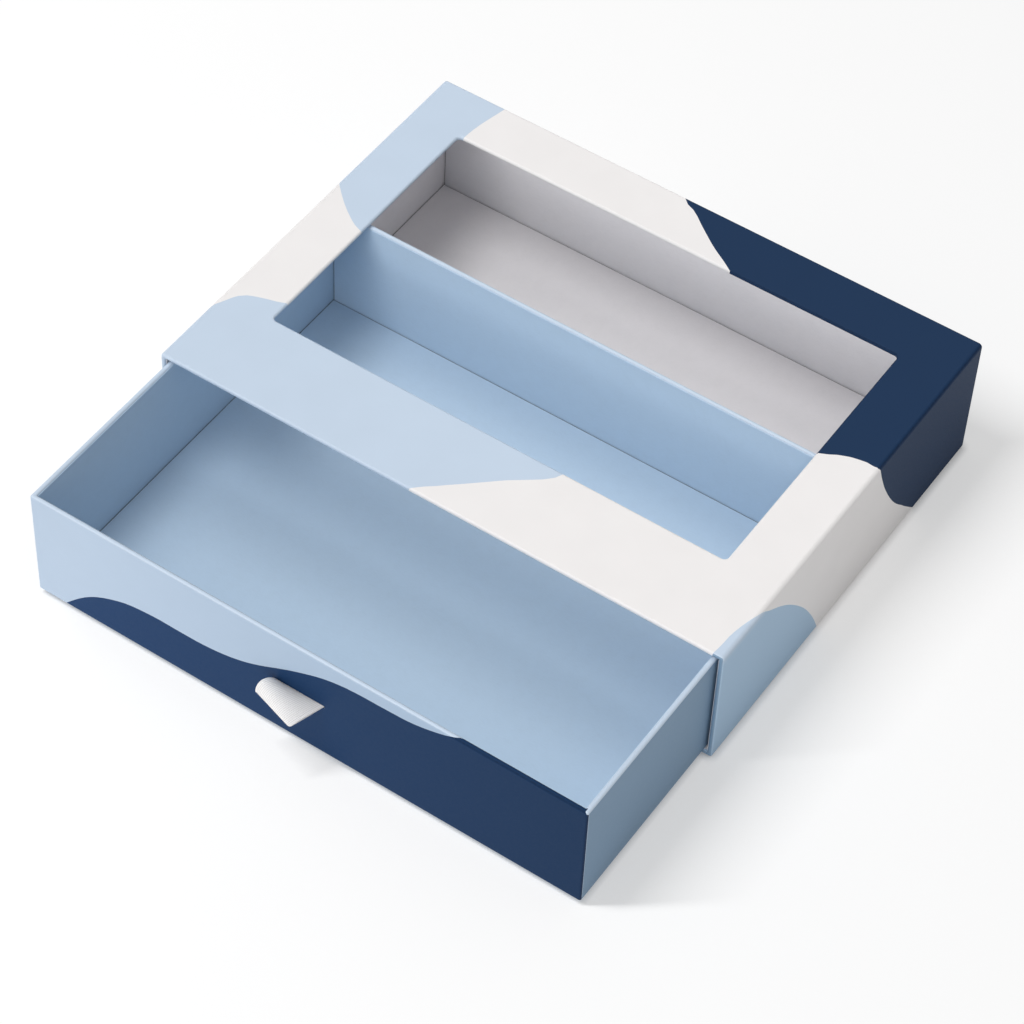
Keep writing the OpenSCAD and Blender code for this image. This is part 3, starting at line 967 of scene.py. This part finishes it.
# %% Fold the sleeve
def sleeve_walls():
    """The sleeve's walls and rods, already shrunk."""
    long_end, long_top = HALF_W - LONG_R + FOLD_R, TOP - LONG_R + FOLD_R
    walls = [
        shrink((-HALF_W, MOUTH, 0), (-SLEEVE_X, BACK, long_top)),
        shrink((SLEEVE_X, MOUTH, 0), (HALF_W, BACK, long_top)),
        shrink((-HALF_W, MOUTH, 0), (HALF_W, BACK, SLEEVE_LOW_Z)),
        shrink((-HALF_W, BACK - WALL, 0), (HALF_W, BACK, long_top)),
        shrink((-long_end, BACK - WALL, 0), (long_end, BACK, TOP)),
        shrink((-long_end, MOUTH, SLEEVE_TOP_Z), (long_end, WIN_FRONT, TOP)),
        shrink((-long_end, WIN_BACK, SLEEVE_TOP_Z), (long_end, BACK, TOP)),
        shrink((-long_end, MOUTH, SLEEVE_TOP_Z), (-WIN_X, BACK, TOP)),
        shrink((WIN_X, MOUTH, SLEEVE_TOP_Z), (long_end, BACK, TOP)),
    ]
    for side in (-1, 1):
        walls += fold_rods(side, HALF_W, TOP, MOUTH, BACK)
    return walls


round_folds(sleeve_skin.mesh, sleeve_walls())
window_corners = [
    (side * WIN_X, y, -side, into) for side in (-1, 1) for y, into in ((WIN_FRONT, 1), (WIN_BACK, -1))
]
round_corners(sleeve_skin.mesh, window_corners, WINDOW_R)
finish_skin(sleeve_skin, "sleeve_skin", "sleeve", "sleeve_wrap", SLEEVE_INKS)

# %% [markdown]
# ## The drawer's wrap
#
# The drawer's sheet is pale blue on the front and over the rims. On the sides it is a darker slate blue,
# a painted shade. A navy wave rises over the front from the lower left to the upper right, where it runs
# on over the rim. The slot for the ribbon is cut through paper and board.

# %% Outline the navy wave
DRAWER_X = DRAWER_HIGH[0]
FRONT, REAR = DRAWER_LOW[1], DRAWER_HIGH[1]
LOW, RIM = DRAWER_LOW[2], DRAWER_HIGH[2]
SLOT_X, SLOT_Z, SLOT_H = 13.0, 36.2, 1.2
RIM_NOTCH = 1.5
NAVY_ROUND_CORNER = 0.9

wave_field = smooth(
    [(-150, -22), (-140, -10), (-129.5, 4.6), (-114.9, 18.9), (-97.1, 27.8), (-80, 30.6), (-65.8, 30.7),
     (-51.9, 31.1), (-37.9, 33.4), (-24.1, 38.3), (-3, 49.3), (14.1, 56.2), (28.6, 58.7), (43.1, 59.2),
     (57.6, 60), (70, 63), (79, 66.6), (88, 72)]
) + [(DRAWER_X - RIM_NOTCH, 72), (DRAWER_X - RIM_NOTCH, RIM + 0.6), (DRAWER_X - 1.0, RIM - 0.3),
     (DRAWER_X - 0.5, RIM - 1.0), (DRAWER_X + 0.3, RIM - 1.3), (DRAWER_X + NAVY_ROUND_CORNER, RIM - 1.4),
     (DRAWER_X + NAVY_ROUND_CORNER, -22)]


def drawer_sheet(places):
    """Where each place on the drawer lies on its flat sheet: s across the front, t up and over the rim."""
    x, y, z = places.T
    on_front = y < FRONT + WALL + TINY
    over = np.clip(y - FRONT, 0, WALL)
    side = np.where(x < 0, -1, 1)
    s = np.where(on_front & (np.abs(x) < DRAWER_X - TINY), x, side * (np.abs(x) + y - FRONT))
    t = np.where(on_front & (z > RIM - TINY), z + over, z)
    return np.column_stack([s, t])


def in_wave(places):
    """Signed distance into the navy wave."""
    return inside(wave_field, drawer_sheet(places))


print("points on the wave's outline:", len(wave_field))

# %% [markdown]
# ## The drawer's skin
#
# The drawer's sheet goes up the outside, over the rims and down behind the linings, and is turned under
# the base. It is made as the sleeve's skin was, from grids on its planes. The slot is left open by its test.

# %% Lay out the drawer's planes
DRAWER_IN_X, IN_FRONT, IN_REAR = DRAWER_X - WALL, FRONT + WALL, REAR - WALL
TURNED = RIM - TURN_IN
SLOT_LOW, SLOT_HIGH = SLOT_Z - SLOT_H / 2, SLOT_Z + SLOT_H / 2


def drawer_planes():
    """The drawer's sharp skin."""
    skin = Skin((
        grid_lines(-DRAWER_X, DRAWER_X, (-DRAWER_X, -DRAWER_IN_X, DRAWER_IN_X, DRAWER_X),
                   (-DRAWER_X + TURN_IN, DRAWER_X - TURN_IN, -SLOT_X, SLOT_X)),
        grid_lines(FRONT, REAR, (FRONT, IN_FRONT, IN_REAR, REAR), (FRONT + TURN_IN, REAR - TURN_IN)),
        grid_lines(LOW, RIM, (LOW, RIM), (TURNED, SLOT_LOW, SLOT_HIGH)),
    ))

    def in_hollow(x, y):
        return abs(x) < DRAWER_IN_X and IN_FRONT < y < IN_REAR

    def turned_under(x, y, z):
        return abs(x) > DRAWER_X - TURN_IN or y < FRONT + TURN_IN or y > REAR - TURN_IN

    def turned_in(x, y, z):
        return z > TURNED and abs(x) < DRAWER_IN_X

    skin.plane(1, FRONT, -1, lambda x, y, z: not (abs(x) < SLOT_X and SLOT_LOW < z < SLOT_HIGH))
    skin.plane(1, REAR, 1, lambda x, y, z: True)
    skin.plane(2, RIM, 1, lambda x, y, z: not in_hollow(x, y))
    skin.plane(2, LOW, -1, turned_under)
    for side in (-1, 1):
        skin.plane(0, side * DRAWER_X, side, lambda x, y, z: True)
        skin.plane(0, side * DRAWER_IN_X, -side, lambda x, y, z: z > TURNED and IN_FRONT < y < IN_REAR)
    skin.plane(1, IN_FRONT, 1, turned_in)
    skin.plane(1, IN_REAR, -1, turned_in)
    return skin


drawer_skin = drawer_planes()
print("drawer's skin:", len(drawer_skin.mesh.faces), "quads")

# %% [markdown]
# ## Printing and folding the drawer
#
# The wave's outline is cut in as the sleeve's fields were. The front has inks of its own, painted a little
# darker toward the right as a painted falloff of light. The outer sides, the back and the base take the
# slate ink, a painted shade, and pale blue covers what is left: the rims, the folds and the turned-in
# strips.

# %% Print and fold the drawer
DRAWER_INKS = ["pale", "front_pale_falloff", "front_navy_falloff", "shade_slate"]


def print_drawer(skin):
    """Cuts the wave into the skin and gives each face its ink."""
    print("  cut", cut_along(skin.mesh, in_wave), "edges")
    faces = list(skin.mesh.faces)
    centres = np.array([f.calc_center_median() for f in faces])
    outer_side = (np.abs(centres[:, 0]) > DRAWER_X - TINY) | (centres[:, 1] > REAR - TINY)
    inks = (
        # The outer sides take the slate ink, a painted shade.
        ("shade_slate", outer_side & (centres[:, 2] < RIM - FOLD_R) & (centres[:, 1] > FRONT + FOLD_R)),
        # The front's inks carry a painted falloff of light.
        ("front_pale_falloff", centres[:, 1] < FRONT + TINY),
        ("front_navy_falloff", in_wave(centres) > 0),
        ("shade_slate", centres[:, 2] < LOW + TINY),
    )
    chosen = np.zeros(len(faces), int)
    for ink, where in inks:
        chosen[where] = DRAWER_INKS.index(ink)
    for face, ink in zip(faces, chosen):
        face.material_index = int(ink)


print_drawer(drawer_skin)
drawer_walls = [
    shrink((-DRAWER_X, FRONT, LOW), (DRAWER_X, IN_FRONT, RIM)),
    shrink((-DRAWER_X, IN_REAR, LOW), (DRAWER_X, REAR, RIM)),
    shrink((-DRAWER_X, FRONT, LOW), (-DRAWER_IN_X, REAR, RIM)),
    shrink((DRAWER_IN_X, FRONT, LOW), (DRAWER_X, REAR, RIM)),
    shrink((-DRAWER_X, FRONT, LOW), (DRAWER_X, REAR, LOW + WALL)),
]
round_folds(drawer_skin.mesh, drawer_walls)
finish_skin(drawer_skin, "drawer_skin", "drawer", "drawer_wrap", DRAWER_INKS)

# %% [markdown]
# ## Stay tape on the board corners
#
# Under the wrap, kraft tape holds the boards together along their corners. Each tape is a strip bent
# round a soft right angle. A strip is drawn as its bent section, moved along the corner, and given the
# thickness of the paper.

# %% Bend the stay tapes
TAPE_T = 0.1
TAPE_LEG = 12.0
TAPE_DEPTH = SKIN_T + 0.03
TAPE_SHORT = 1.5
BEND_DEGREES = range(0, 91, 15)


def bend_tape(mesh, fold_r, corner, first, second, along):
    """One strip over a corner: first and second point inward from the two faces that meet there."""
    corner, first, second, along = (np.array(v, float) for v in (corner, first, second, along))
    centre = corner + fold_r * (first + second)
    radius = fold_r - TAPE_DEPTH
    section = [centre - radius * first + (TAPE_LEG - fold_r) * second]
    for degrees in BEND_DEGREES:
        angle = math.radians(degrees)
        section.append(centre - radius * (math.cos(angle) * first + math.sin(angle) * second))
    section.append(centre - radius * second + (TAPE_LEG - fold_r) * first)
    rows = [[mesh.verts.new(p + along * end) for p in section] for end in (0, 1)]
    for k in range(len(section) - 1):
        quad = [rows[0][k], rows[0][k + 1], rows[1][k + 1], rows[1][k]]
        face = mesh.faces.new(quad)
        face.smooth = True
        face.normal_update()
        if face.normal.dot(Vector(first + second)) > 0:
            face.normal_flip()


def build_tapes(name, body, node, strips):
    """All of one body's tapes as one object."""
    mesh = bmesh.new()
    for strip in strips:
        bend_tape(mesh, *strip)
    bmesh.ops.transform(mesh, matrix=Matrix.Scale(MM, 4), verts=mesh.verts)
    data = bpy.data.meshes.new(name)
    mesh.to_mesh(data)
    mesh.free()
    data.materials.append(kraft)
    piece = add_object(name, data)
    paper = piece.modifiers.new("paper", "SOLIDIFY")
    paper.thickness = TAPE_T * MM
    paper.offset = -1
    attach(piece, body)
    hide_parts(node)
    print(name, "has", len(strips), "strips")

# %% Place the stay tapes
sleeve_length = (0, BACK - MOUTH - 2 * TAPE_SHORT, 0)
drawer_height = (0, 0, RIM - LOW - 2 * TAPE_SHORT)
sleeve_strips = []
drawer_strips = []
for side in (-1, 1):
    inward = (-side, 0, 0)
    near_mouth = MOUTH + TAPE_SHORT
    sleeve_strips += [
        (FOLD_R, (side * HALF_W, near_mouth, 0), inward, (0, 0, 1), sleeve_length),
        (LONG_R, (side * HALF_W, near_mouth, TOP), inward, (0, 0, -1), sleeve_length),
        (FOLD_R, (side * HALF_W, BACK, TAPE_LEG), inward, (0, -1, 0), (0, 0, TOP - 2 * TAPE_LEG)),
    ]
    drawer_strips += [
        (FOLD_R, (side * DRAWER_X, y, LOW + TAPE_SHORT), inward, (0, into, 0), drawer_height)
        for y, into in ((FRONT, 1), (REAR, -1))
    ]
build_tapes("sleeve_stay_tapes", "sleeve", "sleeve_corner_tapes", sleeve_strips)
build_tapes("drawer_stay_tapes", "drawer", "drawer_corner_tapes", drawer_strips)

# %% [markdown]
# ## The ribbon pull
#
# The pull is a short strip of white ribbon, doubled into a loop. Both ends go through the slot and are
# pasted behind the front board, one up and one down. The loop leans to the left and its right edge
# stands further out, so the fold shows as a slanted edge. Fine ribs run along the strip and a woven
# selvage closes each edge. It is built as a surface over two numbers: edge goes from the left edge to
# the right one, and turn goes round the loop.

# %% Shape the ribbon
RIBBON_W, RIBBON_T = 25.0, 0.4
REACH = (10.0, 17.5)
RISE = (6.2, 0.5)
SAG = (3.0, 0.12)
LEAN = (3.8, 5.0)
SWELL = 0.7
LAYER_Z = RIBBON_T / 2 + 0.1
TAIL_Y, TAIL_L = 1.85, 13.0
RIB_PITCH, RIB_HEIGHT = 0.87, 0.13
SELVAGE_W, SELVAGE_HEIGHT = 1.6, 0.15
END_ROUND = 2.0
END_DRAW, RIB_ROUND, BEAD_ROUND = 0.9, 0.6, 0.5
LOOP_STEPS, TAIL_STEPS, SLOT_STEPS, RIB_STEPS = 96, 12, 3, 8


def edge_line(edge):
    """The strip's middle line at its left (0) or right (1) edge: x, out from the panel, height."""
    upper, lower, tail = SLOT_Z + LAYER_Z, SLOT_Z - LAYER_Z, TAIL_L - LAYER_Z
    line = [(0, -TAIL_Y, upper + tail * (1 - k / TAIL_STEPS)) for k in range(TAIL_STEPS)]
    line += [(0, -TAIL_Y * (1 - k / SLOT_STEPS), upper) for k in range(SLOT_STEPS)]
    for k in range(LOOP_STEPS + 1):
        turn = 2 * math.pi * k / LOOP_STEPS
        lift = (RISE if turn < math.pi else SAG)[edge] * math.sin(turn) * math.sin(turn / 2) ** SWELL
        out = REACH[edge] * (1 - math.cos(turn)) / 2
        line.append((-LEAN[edge] * out / REACH[edge], out, SLOT_Z + LAYER_Z * math.cos(turn / 2) + lift))
    line += [(0, -TAIL_Y * (k + 1) / SLOT_STEPS, lower) for k in range(SLOT_STEPS)]
    line += [(0, -TAIL_Y, lower - tail * (k + 1) / TAIL_STEPS) for k in range(TAIL_STEPS)]
    return np.array(line)


def ribbon_middle(edge):
    """The strip's middle surface at a share of its width, with the fold's right end rounded."""
    line = edge_line(0) * (1 - edge) + edge_line(1) * edge
    past = min(1, max(0, 1 - (1 - edge) * RIBBON_W / END_ROUND))
    drawn_in = END_ROUND * (1 - math.sqrt(1 - END_DRAW * past**2)) / REACH[1]
    out = np.where(line[:, 1] > 0, line[:, 1] * (1 - drawn_in), line[:, 1])
    return np.column_stack([(edge - 0.5) * RIBBON_W + line[:, 0], FRONT - out, line[:, 2]])

# %% Weave the strip
def build_ribbon():
    """The strip as an object with flat coordinates, and its length in millimetres."""
    count = int(RIBBON_W / RIB_PITCH * RIB_STEPS)
    edges = np.linspace(0, 1, count + 1)
    grid = np.array([ribbon_middle(e) for e in edges])
    along = np.gradient(grid, axis=1)
    across = np.gradient(grid, axis=0)
    normal = np.cross(across, along)
    normal /= np.linalg.norm(normal, axis=2)[:, :, None]
    from_edge = np.minimum(edges, 1 - edges) * RIBBON_W
    ribs = RIB_HEIGHT * np.abs(np.sin(np.pi * (from_edge - SELVAGE_W) / RIB_PITCH)) ** RIB_ROUND
    bead = SELVAGE_HEIGHT * np.sin(np.pi * np.clip(from_edge / SELVAGE_W, 0, 1)) ** BEAD_ROUND
    height = np.where(from_edge < SELVAGE_W, bead, ribs)
    steps = grid.shape[1]
    data = bpy.data.meshes.new("ribbon")
    places = (grid + normal * height[:, None, None]).reshape(-1, 3) * MM
    faces = [
        (i * steps + j, i * steps + j + 1, (i + 1) * steps + j + 1, (i + 1) * steps + j)
        for i in range(count) for j in range(steps - 1)
    ]
    data.from_pydata(places.tolist(), [], faces)
    length = np.concatenate([[0], np.cumsum(np.linalg.norm(np.diff(grid[count // 2], axis=0), axis=1))])
    layer = data.uv_layers.new(name="strip")
    index = np.array([v for f in faces for v in f])
    uv = np.column_stack([edges[index // steps] * RIBBON_W, length[index % steps]]) * MM
    layer.data.foreach_set("uv", uv.ravel())
    data.polygons.foreach_set("use_smooth", [True] * len(faces))
    piece = add_object("ribbon_loop", data)
    cloth = piece.modifiers.new("cloth", "SOLIDIFY")
    cloth.thickness = (RIBBON_T - RIB_HEIGHT) * MM
    cloth.offset = 0
    return piece, length[-1]


ribbon, ribbon_length = build_ribbon()
print("ribbon strip is", round(ribbon_length, 1), "mm long")

# %% [markdown]
# ## Ribbon cloth
#
# The ribbon is a matt synthetic weave. Across the ribs it has fine threads, close enough that they only
# show as a soft sheen. The threads are drawn from the strip's own flat coordinates, which follow it round
# the loop.

# %% Finish the ribbon
RIBBON_WHITE = (0.88, 0.87, 0.86)
# The colour of the painted shade in the grooves between the ribs.
RIB_GROOVE_SHADE = (0.64, 0.61, 0.61)
THREADS, FUZZ = 450, 2500  # waves per metre
THREAD_HEIGHT_MM, FUZZ_HEIGHT_MM = 0.03, 0.02


def ribbon_cloth():
    material, tree, shader = start_material("ribbon_cloth")
    strip = add_node(tree, "UVMap", {"uv_map": "strip"}).outputs[0]
    threads = add_node(
        tree, "TexWave", {"bands_direction": "Y"}, Vector=strip, Scale=THREADS, Distortion=0.6,
        Detail=2.0, Detail_Scale=2.0
    ).outputs["Fac"]
    fuzz = noise(tree, place_on_piece(tree), FUZZ, 4, 0.6)
    tone = tint(tree, between(tree, fuzz, 0, 1), shade(RIBBON_WHITE, -0.04), shade(RIBBON_WHITE, 0.02))
    woven = tint(tree, between(tree, threads, 0, 0.25, 0, 1), tone, shade(RIBBON_WHITE, -0.12))
    # The grooves between the ribs are painted darker, as painted shade.
    across = add_node(tree, "SeparateXYZ", Vector=strip).outputs["X"]
    from_selvage = calc(tree, "SUBTRACT", across, SELVAGE_W * MM)
    rib = calc(tree, "PINGPONG", from_selvage, RIB_PITCH / 2 * MM)
    groove_shade = between(tree, rib, 1, 0, 0, RIB_PITCH / 6 * MM)
    tree.links.new(tint(tree, groove_shade, woven, RIB_GROOVE_SHADE), shader.inputs["Base Color"])
    tree.links.new(between(tree, fuzz, 0.6, 0.75), shader.inputs["Roughness"])
    weave = bump(tree, shader, threads, THREAD_HEIGHT_MM)
    bump(tree, shader, fuzz, FUZZ_HEIGHT_MM, under=weave)
    shader.inputs["Specular IOR Level"].default_value = 0.3
    shader.inputs["Sheen Weight"].default_value = 0.25
    shader.inputs["Sheen Roughness"].default_value = 0.4
    return material


ribbon.data.materials.append(ribbon_cloth())
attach(ribbon, "drawer")
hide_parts("ribbon_pull")
